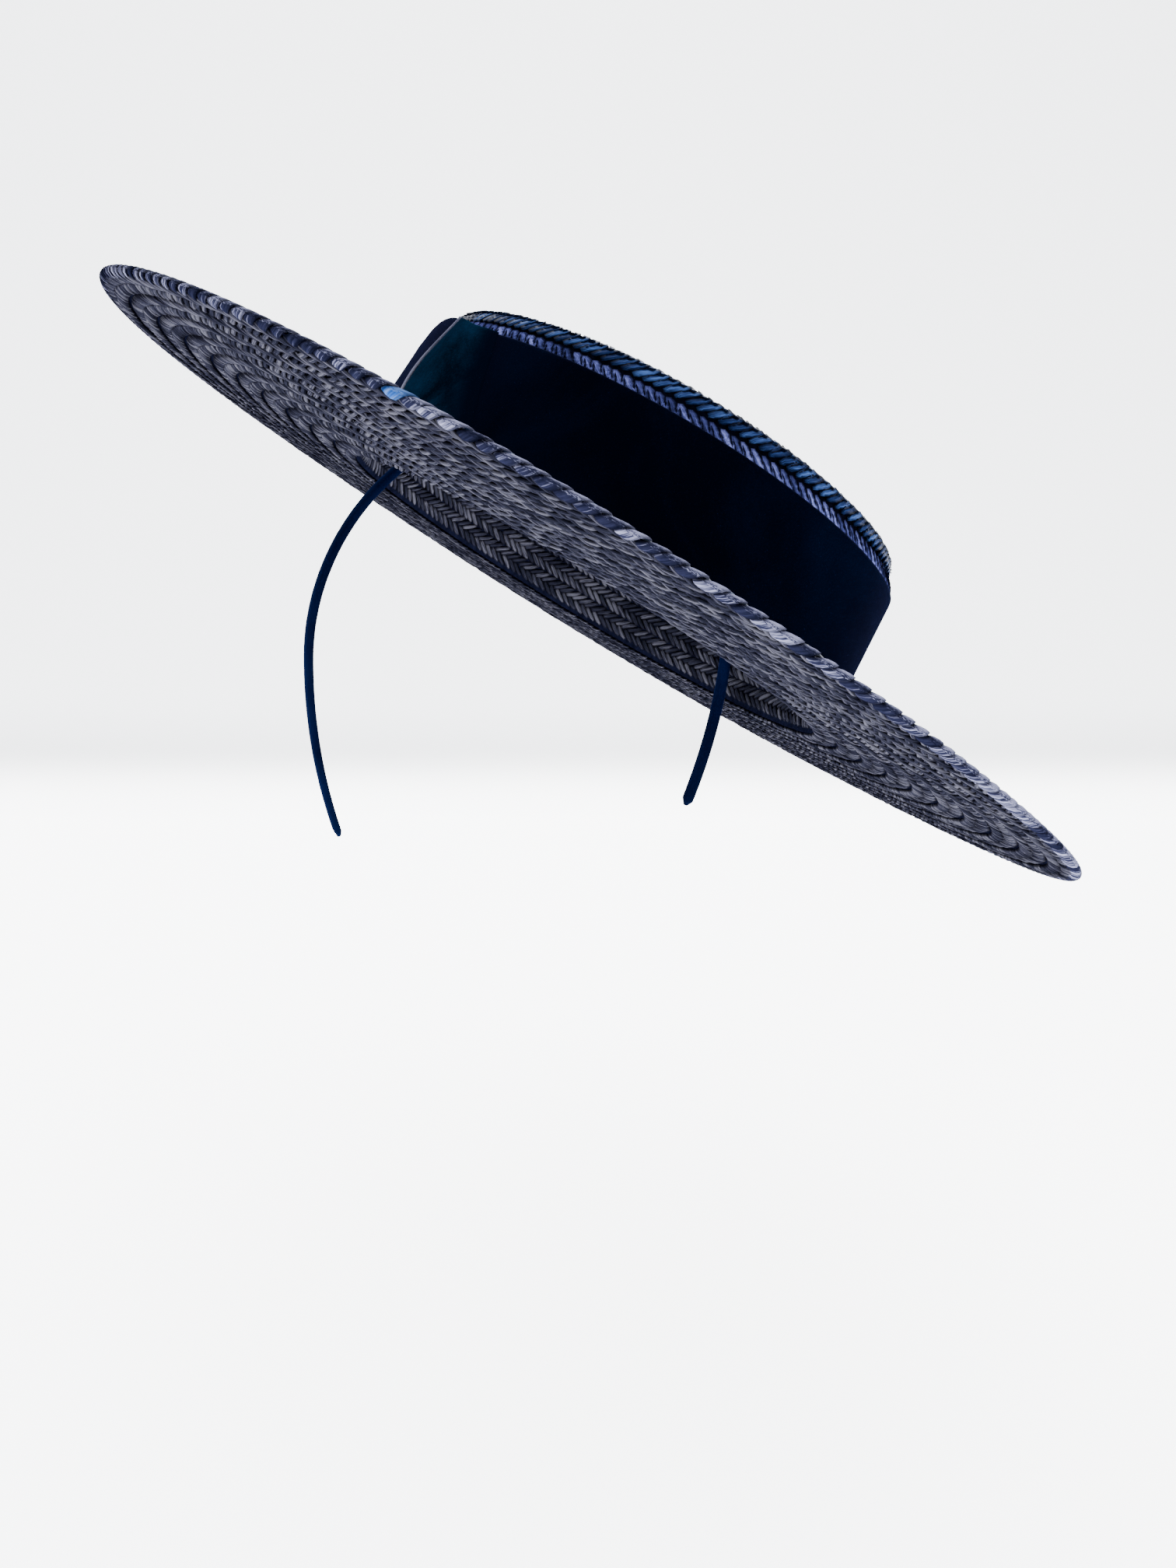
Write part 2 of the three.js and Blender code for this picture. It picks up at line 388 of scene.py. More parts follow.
def mapped(tree, value, low, high, to_low=0.0, to_high=1.0, **settings):
    """A value from one range, brought into another."""
    inputs = {"Value": value, "From Min": low, "From Max": high, "To Min": to_low, "To Max": to_high}
    return wired(tree, "ShaderNodeMapRange", inputs, **settings)


def mixed_colour(tree, share, first, second):
    inputs = {"Factor": share, "A": first, "B": (*second, 1)}
    return wired(tree, "ShaderNodeMix", inputs, "Result", data_type="RGBA")


def bumped(tree, height, strength, distance):
    return wired(tree, "ShaderNodeBump", {"Height": height, "Strength": strength, "Distance": distance})


def ramp(tree, source, stops):
    """Colours for a value, from (value, colour) stops."""
    made = tree.nodes.new("ShaderNodeValToRGB")
    tree.links.new(source, made.inputs["Fac"])
    elements = made.color_ramp.elements
    while len(elements) < len(stops):
        elements.new(0.5)
    for element, (at, colour) in zip(elements, stops):
        element.position = at
        element.color = (*colour, 1)
    return made.outputs["Color"]


FIBRE_STRETCH = (0.22, 3.4, 53.0)
OWN_TONE_SHARE = 0.34
PATCH_SHARE = 0.3
STRAW_STOPS = (0.5, 0.82, 1.0)
# Painted shade: a strand's colour goes towards near-black near its edges and ends, where it tucks under its
# neighbours
EDGE_SHADE_FROM = 0.14 * STRAND_WIDTH
EDGE_SHADE_TO = 0.44 * STRAND_WIDTH
ENDS_SHADE_FROM = 0.36 * STRAND_LENGTH
ENDS_SHADE_TO = 0.54 * STRAND_LENGTH
ENDS_SHADE_MOST = 0.9
SHADE_DARKENING = 0.25
SMOOTHER = 0.08
ROUGHER = 0.16


def straw_material(name, dark, mid, light, roughness, gloss, gloss_tint):
    """Dyed straw: fine fibres along each strand, a tone for each strand, and painted shade towards each
    strand's edges and ends.
    """
    material, tree, shader = new_material(name)
    strand = wired(tree, "ShaderNodeAttribute", {}, "Vector", attribute_name="strand")
    along, across, own_tone = parts(tree, strand)
    stretched = wired(tree, "ShaderNodeVectorMath", {0: strand, 1: FIBRE_STRETCH}, operation="MULTIPLY")
    fibre = noise(tree, stretched, scale=1.0, detail=4.0, roughness=0.62)
    patch = noise(tree, object_place(tree), scale=38.0, detail=2.0)
    tone = maths(tree, "MULTIPLY_ADD", own_tone, OWN_TONE_SHARE, fibre)
    tone = maths(tree, "MULTIPLY_ADD", patch, PATCH_SHARE, tone)
    colour = ramp(tree, tone, tuple(zip(STRAW_STOPS, (dark, mid, light))))
    # Painted shade at each strand's edges and ends
    edge_shade = mapped(tree, maths(tree, "ABSOLUTE", across), EDGE_SHADE_FROM, EDGE_SHADE_TO)
    from_middle = maths(tree, "ABSOLUTE", maths(tree, "SUBTRACT", along, STRAND_LENGTH / 2))
    ends = mapped(tree, from_middle, ENDS_SHADE_FROM, ENDS_SHADE_TO, to_high=ENDS_SHADE_MOST)
    painted_shade = maths(tree, "MAXIMUM", edge_shade, ends)
    inputs = {
        "Base Color": mixed_colour(tree, painted_shade, colour, tuple(c * SHADE_DARKENING for c in dark)),
        "Roughness": mapped(tree, fibre, 0.0, 1.0, roughness - SMOOTHER, roughness + ROUGHER),
        "Normal": bumped(tree, fibre, strength=0.55, distance=0.00018),
        "Specular IOR Level": gloss,
        "Specular Tint": (*gloss_tint, 1),
    }
    fill_inputs(tree, shader, inputs)
    return material


GRAIN_SHADE = 0.45


def ground_material(name, colour):
    """Dark and grainy: for the cores that show between the strands, their near-black partly dark straw and
    partly painted shade, and for thread in its own colour.
    """
    material, tree, shader = new_material(name)
    grain = noise(tree, object_place(tree), scale=420.0, detail=3.0)
    shade = tuple(c * GRAIN_SHADE for c in colour)
    inputs = {
        "Base Color": ramp(tree, grain, ((0.35, shade), (0.7, colour))),
        "Normal": bumped(tree, grain, strength=0.5, distance=0.0004),
        "Roughness": 0.8,
        "Specular IOR Level": 0.0,
    }
    fill_inputs(tree, shader, inputs)
    return material


PILE_SHARE = 0.3


def velvet_material(name, dark, light, sheen_tint, sheen, patch_scale=22.0):
    """Short pile: a dark ground, brushed patches and a soft coloured sheen."""
    material, tree, shader = new_material(name)
    place = object_place(tree)
    pile = noise(tree, place, scale=1900.0, detail=2.0)
    patches_and_sheen = noise(tree, place, patch_scale, detail=4.0, roughness=0.6, distortion=0.6)
    tone = maths(tree, "MULTIPLY_ADD", pile, PILE_SHARE, patches_and_sheen)
    inputs = {
        "Base Color": ramp(tree, tone, ((0.52, dark), (0.85, light))),
        "Normal": bumped(tree, pile, strength=0.35, distance=0.00025),
        "Roughness": 0.85,
        "Specular IOR Level": 0.0,
        "Sheen Weight": sheen,
        "Sheen Roughness": 0.35,
        "Sheen Tint": (*sheen_tint, 1),
    }
    fill_inputs(tree, shader, inputs)
    return material


# How little of the painted teal sheen the end's velvet has, from its seam at 0 to its free edge at 1
END_WITHOUT_SHEEN = ((0.0, 0.6), (0.34, 0.0), (0.56, 0.0), (0.9, 1.0))


def end_velvet_material():
    """The ribbon end's velvet: teal painted into its colour in its middle as a painted sheen, plainer at the
    seam and edge.
    """
    material = velvet_material("velvet_end", VELVET_DARK, PAINTED_TEAL_SHEEN, TEAL_SHEEN, sheen=0.1, patch_scale=60.0)
    tree = material.node_tree
    shader = tree.nodes["Principled BSDF"]
    patches_and_sheen = shader.inputs["Base Color"].links[0].from_socket
    across = parts(tree, wired(tree, "ShaderNodeAttribute", {}, "Vector", attribute_name="place"))[0]
    without_sheen = ramp(tree, across, tuple((at, (share,) * 3) for at, share in END_WITHOUT_SHEEN))
    fill_inputs(tree, shader, {"Base Color": mixed_colour(tree, without_sheen, patches_and_sheen, VELVET_MID)})
    return material


VELVET_DARK = (0.0003, 0.0005, 0.0022)
VELVET_MID = (0.0005, 0.001, 0.004)
# Teal in the end's colour: a painted sheen
PAINTED_TEAL_SHEEN = (0.0011, 0.0095, 0.025)
TEAL_SHEEN = (0.02, 0.17, 0.36)
STRAW = straw_material(
    "straw_under",
    dark=(0.0012, 0.0014, 0.0036),
    mid=(0.012, 0.0125, 0.021),
    light=(0.05, 0.05, 0.066),
    roughness=0.5,
    gloss=0.0,
    gloss_tint=(0.8, 0.85, 1.0),
)
STRAW_TOP = straw_material(
    "straw_top",
    dark=(0.001, 0.002, 0.009),
    mid=(0.006, 0.012, 0.045),
    light=(0.025, 0.05, 0.15),
    roughness=0.3,
    gloss=0.2,
    gloss_tint=(0.7, 0.8, 1.0),
)
# The rim straw's light tone shows mostly on the loops' tops: a painted highlight
RIM_STRAW = straw_material(
    "straw_rim",
    dark=(0.001, 0.0014, 0.005),
    mid=(0.01, 0.011, 0.026),
    light=(0.17, 0.175, 0.27),
    roughness=0.4,
    gloss=0.0,
    gloss_tint=(0.85, 0.88, 1.0),
)
# Bright blue straw for one loop: a painted highlight
GLINT_STRAW = straw_material(
    "straw_glint",
    dark=(0.003, 0.01, 0.04),
    mid=(0.012, 0.05, 0.19),
    light=(0.065, 0.12, 0.27),
    roughness=0.3,
    gloss=0.0,
    gloss_tint=(0.8, 0.9, 1.0),
)
# The crown's straw: the same navy straw painted lighter and bluer than the brim's top, as a painted gloss
# highlight
GLOSS_PAINTED_CROWN_STRAW = straw_material(
    "straw_crown",
    dark=(0.001, 0.0025, 0.013),
    mid=(0.01, 0.02, 0.068),
    light=(0.036, 0.078, 0.225),
    roughness=0.24,
    gloss=0.01,
    gloss_tint=(0.6, 0.75, 1.0),
)
# The crown's lower row: painted lighter lavender still, as a painted highlight where light falls on it
HIGHLIT_EDGE_STRAW = straw_material(
    "straw_crown_edge",
    dark=(0.006, 0.008, 0.03),
    mid=(0.04, 0.047, 0.15),
    light=(0.12, 0.135, 0.36),
    roughness=0.42,
    gloss=0.0,
    gloss_tint=(0.85, 0.85, 1.0),
)
# The cores' near-black: dark navy straw darkened further as painted shade where it shows between strands
SHADED_GROUND = ground_material("straw_ground_shaded", (0.0025, 0.003, 0.009))
VELVET = velvet_material(
    "velvet",
    dark=VELVET_DARK,
    light=(0.0006, 0.0015, 0.006),
    sheen_tint=(0.10, 0.11, 0.32),
    sheen=0.11,
)
# Pale grey velvet: a painted highlight along the end's folded edge
FOLD_HIGHLIGHT_VELVET = velvet_material(
    "velvet_fold_highlight",
    dark=(0.09, 0.093, 0.14),
    light=(0.2, 0.205, 0.28),
    sheen_tint=(0.6, 0.62, 0.8),
    sheen=0.3,
)
BAND_VELVET = velvet_material(
    "velvet_band",
    dark=(0.0005, 0.001, 0.006),
    light=(0.001, 0.0025, 0.014),
    sheen_tint=(0.03, 0.06, 0.25),
    sheen=0.12,
)
THREAD = ground_material("thread", (0.01, 0.012, 0.03))


# Brim

BRIM_PITCH = (BRIM_WIDTH - RIM_ROUND) / BRIM_ROWS
ROW_GAP = 1.0
BRIM_FILL = 0.86
CORE_TOP = -PLAIT_RELIEF - 0.1
CORE_UNDER = -PLAIT_THICKNESS + 0.1
BRIM_PARTS = (("inner", range(0, 5)), ("outer", range(5, BRIM_ROWS)))


def brim_row(row, top):
    """The row's face from its inner to its outer edge, as the solid's steps have it."""
    inner = OPENING_RADIUS + row * BRIM_PITCH + ROW_GAP / 2
    outer = inner + BRIM_PITCH - ROW_GAP
    drop = 0 if top else PLAIT_THICKNESS
    return [(inner, -PLAIT_RELIEF - drop), (outer, -drop)]


def build_brim():
    radii = OPENING_RADIUS + np.linspace(0, BRIM_WIDTH - RIM_ROUND, 2 * BRIM_ROWS + 1)
    under = [(r, CORE_UNDER) for r in radii]
    over = [(r, CORE_TOP) for r in radii[::-1]]
    pieces = [turned_piece("brim_core", under + over, SHADED_GROUND)]
    for label, rows in BRIM_PARTS:
        for side, out_side, material in (("under", -1, STRAW), ("top", 1, STRAW_TOP)):
            strands = Strands()
            for row in rows:
                strands.add_row(brim_row(row, side == "top"), out_side, fill=BRIM_FILL)
            pieces.append(strands.build(f"brim_{side}_{label}", material))
    pieces.extend(build_rim())
    for piece in pieces:
        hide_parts("brim")


# The rim's loops: their middle line runs round the brim's edge from below to above
LOOP_PITCH = 4.6
LOOP_CORNERS = 8
LOOP_WIDTHS = 5.1 * np.array([0.6, 0.85, 0.97, 1.0, 1.0, 1.0, 0.95, 0.8, 0.5])
LOOP_THICK = 0.8
LOOP_LAP = 0.6
LOOP_ADVANCE = 1.25 * LOOP_PITCH
LOOP_FROM_DEG = -112
LOOP_TURN_DEG = 262
LOOP_INSET = 1.4
LOOP_OUT = 1.7
LOOP_UP = 0.95
LOOP_PLACE_SPREAD = 0.2
LOOP_SIZE_RANGE = (0.85, 1.15)
RIM_RADIUS = OPENING_RADIUS + BRIM_WIDTH - 1.0

# One loop is painted bright blue as a painted highlight, a glint, and all of them turn pale towards the top as
# a painted highlight where they catch the light
GLINT_FROM_DEG = 125.4
GLINT_TO_DEG = 127.2
TOP_HIGHLIGHT_FROM = 0.48
TOP_HIGHLIGHT_TO = 0.7
TOP_HIGHLIGHT_STEP = 1.1
LOOP_TONES = (0, 0.75)
LOOP_EDGE_SHARE = 0.82


def build_rim():
    """The turned edge: each strand folds round the rim from the underside to the top, slanting on."""
    loops = round(2 * math.pi * RIM_RADIUS / LOOP_PITCH)
    stations = len(LOOP_WIDTHS)
    turn = np.linspace(0, 1, stations)
    around = np.radians(LOOP_FROM_DEG + LOOP_TURN_DEG * turn)
    centre_r = RIM_RADIUS - LOOP_INSET + LOOP_OUT * np.cos(around)
    centre_z = -PLAIT_THICKNESS / 2 + LOOP_UP * np.sin(around)
    ring = ring_angles(LOOP_CORNERS)
    across = np.cos(ring) * 0.5
    out = np.sin(ring) * 0.5 * LOOP_THICK + across * LOOP_LAP
    start = np.arange(loops) * LOOP_PITCH
    wobble = rng.normal(0, LOOP_PLACE_SPREAD, loops)
    size = rng.uniform(*LOOP_SIZE_RANGE, loops)
    s = (start + wobble)[:, None, None] + LOOP_ADVANCE * turn[None, :, None]
    s = s + across[None, None, :] * LOOP_WIDTHS[None, :, None] * size[:, None, None]
    r = centre_r[:, None] + out[None, :] * np.cos(around)[:, None]
    z = centre_z[:, None] + out[None, :] * np.sin(around)[:, None]
    points = on_oval(r, s / RIM_RADIUS, z)
    # Painted highlight: each loop paler towards its top
    pale = np.clip((turn - TOP_HIGHLIGHT_FROM) / (TOP_HIGHLIGHT_TO - TOP_HIGHLIGHT_FROM), 0, 1)
    tone = rng.uniform(*LOOP_TONES, loops)[:, None, None] + TOP_HIGHLIGHT_STEP * pale[None, :, None]
    along = STRAND_LENGTH * (0.2 + 0.6 * turn)[:, None]
    strand = np.stack(np.broadcast_arrays(along, across * STRAND_WIDTH * LOOP_EDGE_SHARE, tone), axis=-1)
    at_deg = np.degrees(start / RIM_RADIUS)
    # The loop painted as a highlight
    glint = (at_deg > GLINT_FROM_DEG) & (at_deg < GLINT_TO_DEG)
    one = tube_quads(stations, LOOP_CORNERS)
    pieces = []
    for name, chosen, material in (("brim_rim", ~glint, RIM_STRAW), ("brim_rim_glint", glint, GLINT_STRAW)):
        quads = repeated(one, int(chosen.sum()), stations * LOOP_CORNERS)
        attributes = {"strand": strand[chosen]}
        pieces.append(mesh_object(name, points[chosen], quads, material, attributes))
    return pieces


# Crown

# Profiles of the shoulder: shares of its width, out from the tip, and of its height, down from the top
LOWER_ROW = ((1.1, 1.0), (1.08, 0.87), (0.99, 0.73), (0.86, 0.63))
UPPER_ROW = ((0.64, 0.49), (0.7, 0.41), (0.6, 0.2), (0.3, 0.03), (0.0, -0.02))
SHOULDER_CORE = ((0.98, 0.8), (0.7, 0.6), (0.5, 0.54), (0.56, 0.42), (0.5, 0.2), (0.25, 0.07))
TIP_STEP = 0.3
TIP_MIDDLE = 0.3
CORE_MIDDLE = 0.05
LINING_SIDE_ROWS = 6


def shoulder_profile(shares):
    return [
        (TIP_RADIUS + (SIDE_TOP_RADIUS - TIP_RADIUS) * out, CROWN_HEIGHT - SHOULDER_WIDTH * down)
        for out, down in shares
    ]


def crown_core():
    wall = [(SIDE_FOOT_RADIUS, -PLAIT_THICKNESS), (SIDE_TOP_RADIUS, SIDE_TOP)]
    tip = [(TIP_RADIUS, CROWN_HEIGHT - TIP_STEP), (CORE_MIDDLE, CROWN_HEIGHT + CROWN_DOME - TIP_STEP)]
    inside = [
        (CORE_MIDDLE, TIP_INSIDE),
        (TIP_RADIUS - CROWN_WALL, TIP_INSIDE),
        (SIDE_TOP_RADIUS - CROWN_WALL, SIDE_TOP),
        (OPENING_RADIUS, -PLAIT_THICKNESS),
    ]
    outline = wall + shoulder_profile(SHOULDER_CORE) + tip + inside
    return turned_piece("crown_core", outline, SHADED_GROUND)


def build_crown():
    edge = Strands()
    edge.add_row(shoulder_profile(LOWER_ROW), 1, lift=0.6, pitch=3.4, halves=(1,), slant=4.4, fill=1.46)
    outer = Strands()
    outer.add_row(shoulder_profile(UPPER_ROW), 1, lift=1.2, pitch=3.3, fill=1.1)
    tip_pitch = TIP_RADIUS / TIP_ROWS
    for row in range(TIP_ROWS):
        r_out = TIP_RADIUS - row * tip_pitch
        z = CROWN_HEIGHT + CROWN_DOME * row / TIP_ROWS
        outer.add_row([(max(r_out - tip_pitch, TIP_MIDDLE), z - TIP_STEP), (r_out, z)], 1)
    lining = Strands()
    ends = range(LINING_SIDE_ROWS + 1)
    heights = [CROWN_FOOT + (SIDE_TOP - CROWN_FOOT) * k / LINING_SIDE_ROWS for k in ends]
    for low, high in zip(heights, heights[1:]):
        lining.add_row([(side_radius(z) - CROWN_WALL, z) for z in (low, high)], 1, lift=0.8)
    for row in range(TIP_ROWS - 1):
        r_out = TIP_RADIUS - CROWN_WALL - row * tip_pitch
        lining.add_row([(max(r_out - tip_pitch, TIP_MIDDLE), TIP_INSIDE), (r_out, TIP_INSIDE)], -1, lift=0.5)
    pieces = [
        crown_core(),
        edge.build("crown_edge_plait", HIGHLIT_EDGE_STRAW),
        outer.build("crown_top_plait", GLOSS_PAINTED_CROWN_STRAW),
        lining.build("crown_inside_plait", STRAW),
    ]
    for piece in pieces:
        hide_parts("crown_side", "crown_tip")


# Ribbon

# Shares of the height where a layer has points, and the share of its thickness that it loses there
RIBBON_UP = np.array([0, 0.008, 0.12, 0.3, 0.5, 0.7, 0.86, 0.975, 0.993, 1.0])
RIBBON_LIP = np.array([0.35, 0, 0, 0, 0, 0, 0, 0, 0.08, 0.4])
RIBBON_STEPS = 300

# Near its join the ribbon stands off the crown, rolls in at its upper edge and stands up there
ROLL_IN = 0.5
ROLL_FROM = 0.84
ROLL_OVER = 0.16
JOIN_RISE = 3.1
RISE_AT_DEG = 79.5
RISE_HALF_DEG = 17.0


def bell(angle, at_deg, half_deg):
    """1 at one angle, and smoothly down to 0 on either side."""
    off = np.abs(angle - math.radians(at_deg)) / math.radians(half_deg)
    return np.where(off < 1, np.cos(np.clip(off, 0, 1) * math.pi / 2) ** 2, 0)


def at_join(r, angle, z):
    """A ribbon's points, moved out and up as they are near its join."""
    share = np.clip(z, 0, None) / RIBBON_HEIGHT
    rolled_in = 1 - ROLL_IN * np.clip((share - ROLL_FROM) / ROLL_OVER, 0, 1) ** 2
    swell = SWELL_OUT * bell(angle, SWELL_AT_DEG, SWELL_HALF_DEG) * share**2 * rolled_in
    rise = JOIN_RISE * bell(angle, RISE_AT_DEG, RISE_HALF_DEG) * share**5
    return r + swell, z + rise


def ribbon_skin(outside, height, lip=0.0):
    """Mean radius and height of one face of a ribbon layer, from its lower to its upper edge."""
    up = CROWN_FOOT + height * RIBBON_UP
    return np.stack([side_radius(np.minimum(up, SIDE_TOP)) + outside - RIBBON_LIP * lip, up], axis=-1)


def build_ribbon():
    inner = ribbon_skin(SEAM, RIBBON_HEIGHT)
    outer = ribbon_skin(SEAM + RIBBON_THICKNESS, RIBBON_HEIGHT, RIBBON_THICKNESS)
    outline = np.concatenate([outer, inner[::-1]])
    band = turned_piece("ribbon", outline, VELVET, RIBBON_STEPS, at_join)
    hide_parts("ribbon_band")


END_LIES = 2 * SEAM + RIBBON_THICKNESS
END_HEIGHT = RIBBON_HEIGHT + 0.4
END_COLUMNS = 40
END_SLANT_POWER = 0.8

# Shares of the end's width over which it thins towards its seam and towards its free edge
THIN_AT_SEAM = 0.06
THIN_AT_EDGE = 0.2
THINNEST = 0.04

SEAM_BOW_DEG = 3.8
SEAM_BOW_FROM = 0.2
SEAM_TOP_DEG = 1.6


def seam_angle(up_share):
    """Where the end's seam is, in degrees: nearly straight, with a slight bow."""
    bow = np.sin(math.pi * np.clip((up_share - SEAM_BOW_FROM) / (1 - SEAM_BOW_FROM), 0, 1)) ** 2
    return END_FROM_DEG + (SEAM_TOP_DEG * up_share**3 - SEAM_BOW_DEG * bow)


def build_ribbon_end():
    inner = ribbon_skin(END_LIES, END_HEIGHT)
    outer = ribbon_skin(END_LIES + END_THICKNESS, END_HEIGHT, END_THICKNESS)
    outline = np.concatenate([outer, inner[::-1]])
    up_share = (outline[:, 1] - CROWN_FOOT) / END_HEIGHT
    to_deg = END_BASE_DEG + (END_TOP_DEG - END_BASE_DEG) * up_share**END_SLANT_POWER
    from_deg = seam_angle(up_share)
    share = np.linspace(0, 1, END_COLUMNS)[:, None]
    angle = np.radians(from_deg + (to_deg - from_deg) * share)
    thin = np.clip(np.minimum(share / THIN_AT_SEAM, (1 - share) / THIN_AT_EDGE), THINNEST, 1)
    middle = END_LIES + side_radius(np.minimum(outline[:, 1], SIDE_TOP))
    r = middle + (outline[:, 0] - middle) * thin - SEAM * (1 - thin)
    r, z = at_join(r, angle, outline[None, :, 1])
    points = on_oval(r, angle, z)
    place = np.stack(np.broadcast_arrays(share, up_share, 0), axis=-1)
    quads = tube_quads(END_COLUMNS, len(outline))
    material = end_velvet_material()
    end = mesh_object("ribbon_end_layer", points, quads, material, {"place": place})
    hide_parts("ribbon_end")


FOLD_HEIGHT = RIBBON_HEIGHT + 0.3
FOLD_STATIONS = 40
FOLD_CORNERS = 8
FOLD_LIES = 0.55
FOLD_HALF_OUT = 0.5
FOLD_HALF_ALONG = 0.3


def build_fold():
    """The end's folded edge: a thin strip that runs up the seam, painted pale grey as the highlight where the
    fold catches light.
    """
    up = np.linspace(0, 1, FOLD_STATIONS)
    angle = np.radians(seam_angle(up))
    z = CROWN_FOOT + FOLD_HEIGHT * up
    r = side_radius(np.minimum(z, SIDE_TOP)) + END_LIES + FOLD_LIES
    r, z = at_join(r, angle, z)
    ring = ring_angles(FOLD_CORNERS)
    points = on_oval(
        r[:, None] + FOLD_HALF_OUT * np.sin(ring)[None, :],
        angle[:, None] + FOLD_HALF_ALONG * np.cos(ring)[None, :] / SIDE_FOOT_RADIUS,
        z[:, None],
    )
    mesh_object("ribbon_fold", points, tube_quads(FOLD_STATIONS, FOLD_CORNERS), FOLD_HIGHLIGHT_VELVET)


# Hairband

BAND_STATIONS = 150
BAND_CORNERS = 14
ARCH_SHARE = 0.62
END_ROUND = 0.55 * BAND_WIDTH
END_LEAST = 0.05
END_THICKER = 0.3
ACROSS_POWER = 0.55
OUT_POWER = 0.75


def band_line():
    """Middle line of the hairband in its own plane, from one end over the top to the other."""
    arch = [arch_point(math.pi * (0.5 - t)) for t in np.linspace(0, 1, round(BAND_STATIONS * ARCH_SHARE))]
    below = np.linspace(BAND_ARM, 0, round(BAND_STATIONS * (1 - ARCH_SHARE) / 2), endpoint=False)
    right = [np.array([BAND_HALF_WIDTH - ARM_TURN_IN * (b / BAND_ARM) ** 2, -BAND_RISE - b]) for b in below]
    left = [np.array([-p[0], p[1]]) for p in reversed(right)]
    return np.array(right + arch + left)


def build_hairband():
    line = band_line()
    tangent = np.gradient(line, axis=0)
    tangent /= np.linalg.norm(tangent, axis=1)[:, None]
    outward = np.stack([tangent[:, 1], -tangent[:, 0]], axis=1)
    steps = np.linalg.norm(np.diff(line, axis=0), axis=1)
    along = np.concatenate([[0], np.cumsum(steps)])
    from_end = np.minimum(along, along[-1] - along)
    wide = np.sqrt(np.clip(1 - (1 - np.clip(from_end / END_ROUND, 0, 1)) ** 2, END_LEAST, 1))
    thick = np.minimum(1, wide + END_THICKER)
    ring = ring_angles(BAND_CORNERS)
    across = squarer(np.cos(ring), ACROSS_POWER) * BAND_WIDTH / 2
    out = squarer(np.sin(ring), OUT_POWER) * BAND_THICKNESS / 2
    x = line[:, None, 0] + outward[:, None, 0] * out[None, :] * thick[:, None]
    z = line[:, None, 1] + outward[:, None, 1] * out[None, :] * thick[:, None]
    y = across[None, :] * wide[:, None]
    quads = tube_quads(len(line), BAND_CORNERS)
    points = np.stack([x, y, z], axis=-1)
    piece = mesh_object("hairband_cover", points, quads, BAND_VELVET, group=LEAN)
    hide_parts("hairband")


TIE_COUNT = 6
TIE_STEP = 1.5
TIE_ROUND = 24
TIE_CORNERS = 6
TIE_THREAD = 0.45
TIE_OFF = 0.6 * TIE_THREAD
TIE_SKEW = 0.25
TIE_ACROSS_POWER = 0.5
TIE_OUT_POWER = 0.7


def build_ties():
    """Stitches that hold the hairband to the tip: closed thread rings round the band, where it touches."""
    turn = np.arange(TIE_ROUND) * 2 * math.pi / TIE_ROUND
    ring = np.arange(TIE_CORNERS) * 2 * math.pi / TIE_CORNERS
    half_wide = BAND_WIDTH / 2 + TIE_OFF
    half_high = BAND_THICKNESS / 2 + TIE_OFF
    across = half_wide * squarer(np.cos(turn), TIE_ACROSS_POWER)
    out = half_high * squarer(np.sin(turn), TIE_OUT_POWER)
    thread_out = 1 + TIE_THREAD / 2 * np.cos(ring)[None, :] / np.hypot(across, out)[:, None]
    points = []
    for index in range(TIE_COUNT):
        angle = TOUCH + (index - (TIE_COUNT - 1) / 2) * TIE_STEP / BAND_HALF_WIDTH
        centre = arch_point(angle)
        ahead = arch_point(angle + 0.01) - centre
        ahead = ahead / np.hypot(*ahead)
        skew = rng.uniform(-TIE_SKEW, TIE_SKEW)
        slip = skew * across[:, None] / half_wide + TIE_THREAD / 2 * np.sin(ring)[None, :]
        x = centre[0] - ahead[1] * out[:, None] * thread_out + ahead[0] * slip
        z = centre[1] + ahead[0] * out[:, None] * thread_out + ahead[1] * slip
        y = across[:, None] * thread_out
        points.append(np.stack([x, y, z], axis=-1))
    quads = repeated(ring_quads(TIE_ROUND, TIE_CORNERS), TIE_COUNT, TIE_ROUND * TIE_CORNERS)
    mesh_object("tie_stitches", np.array(points), quads, THREAD, group=LEAN)


# Stage, light and camera, in metres

FLOOR_Z = -0.303
STAGE_SIZE = 4.0
WALL_AWAY = 1.43
COVE_RADIUS = 0.12
COVE_STEPS = 14
CHANGE_HEIGHT = 0.075
FLOOR_COLOUR = (0.97, 0.97, 0.97)
WALL_COLOUR = (0.84, 0.85, 0.865)
FLOOR_GLOW = 6.0
WALL_GLOW = 0.9
SKY_COLOUR = (0.95, 0.96, 1.0)
SKY_STRENGTH = 1.3
CAMERA_PLACE = Vector((-0.1603, -0.3561, -0.0554))
CAMERA_YAW = math.radians(26.0)
CAMERA_DOWN = math.radians(9.0)
LENS = 27.05
SENSOR_WIDTH = 36.0

# Name, place, what it faces, sides and power in watts
LIGHTS = (
    ("overhead", (0.1, 0.25, 1.1), (0, 0, 0), (1.6, 1.6), 30.0),
    ("window", (-1.1, -0.7, 0.7), (0, 0, -0.05), (0.9, 0.9), 8.0),
)


def backdrop_material():
    """White near the floor and pale grey up the wall, with a soft change between them."""
    material, tree, shader = new_material("backdrop")
    height = parts(tree, object_place(tree))[2]
    up = mapped(tree, height, 0.0, CHANGE_HEIGHT, interpolation_type="SMOOTHERSTEP")
    inputs = {
        "Base Color": ramp(tree, up, ((0.0, FLOOR_COLOUR), (1.0, WALL_COLOUR))),
        "Emission Strength": mapped(tree, up, 0.0, 1.0, FLOOR_GLOW, WALL_GLOW),
        "Emission Color": (*WALL_COLOUR, 1),
        "Roughness": 0.9,
        "Specular IOR Level": 0.0,
    }
    fill_inputs(tree, shader, inputs)
    return material


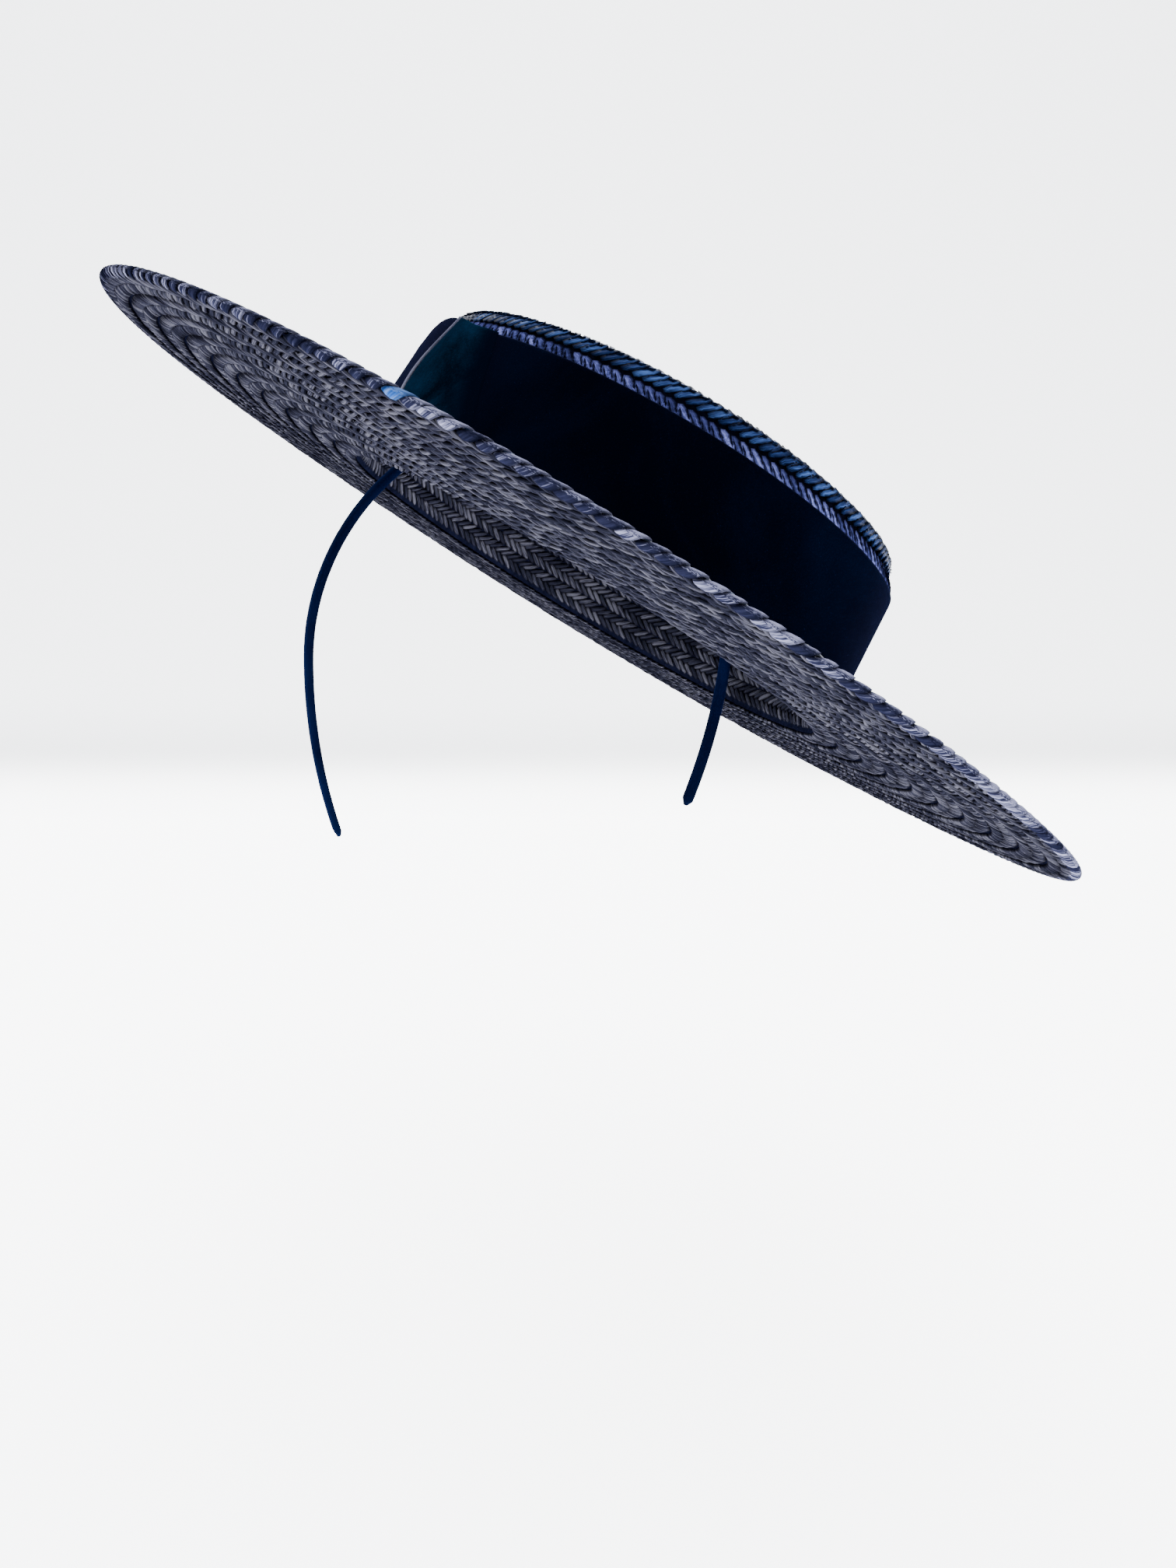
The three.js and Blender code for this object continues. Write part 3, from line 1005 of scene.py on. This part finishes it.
def build_stage():
    """Floor and wall in one sheet, round where they meet."""
    turn = np.linspace(0, math.pi / 2, COVE_STEPS)
    cove = [(WALL_AWAY + COVE_RADIUS * (math.sin(t) - 1), COVE_RADIUS * (1 - math.cos(t))) for t in turn]
    profile = [(-STAGE_SIZE, 0.0), *cove, (WALL_AWAY, STAGE_SIZE)]
    corners = [(x, y, z) for y, z in profile for x in (-STAGE_SIZE, STAGE_SIZE)]
    faces = [(2 * k, 2 * k + 1, 2 * k + 3, 2 * k + 2) for k in range(len(profile) - 1)]
    mesh = bpy.data.meshes.new("backdrop")
    mesh.from_pydata(corners, [], faces)
    mesh.shade_smooth()
    mesh.materials.append(backdrop_material())
    backdrop = bpy.data.objects.new("backdrop", mesh)
    backdrop.location = (CAMERA_PLACE.x, CAMERA_PLACE.y, FLOOR_Z)
    backdrop.rotation_euler = (0, 0, -CAMERA_YAW)
    bpy.context.scene.collection.objects.link(backdrop)


def build_lights():
    for name, place, target, sides, power in LIGHTS:
        data = bpy.data.lights.new(name, "AREA")
        data.shape = "RECTANGLE"
        data.size, data.size_y = sides
        data.energy = power
        light = bpy.data.objects.new(name, data)
        light.location = place
        light.rotation_euler = (Vector(target) - Vector(place)).to_track_quat("-Z", "Y").to_euler()
        bpy.context.scene.collection.objects.link(light)
    world = bpy.data.worlds.new("studio")
    world.use_nodes = True
    background = world.node_tree.nodes["Background"]
    background.inputs["Color"].default_value = (*SKY_COLOUR, 1)
    background.inputs["Strength"].default_value = SKY_STRENGTH
    bpy.context.scene.world = world


def build_camera():
    data = bpy.data.cameras.new("camera")
    data.lens = LENS
    data.sensor_width = SENSOR_WIDTH
    data.clip_start = 0.01
    camera = bpy.data.objects.new("camera", data)
    camera.location = CAMERA_PLACE
    camera.rotation_euler = (math.pi / 2 - CAMERA_DOWN, 0, -CAMERA_YAW)
    bpy.context.scene.collection.objects.link(camera)
    bpy.context.scene.camera = camera


build_brim()
build_crown()
build_ribbon()
build_ribbon_end()
build_fold()
build_hairband()
build_ties()
build_stage()
build_lights()
build_camera()
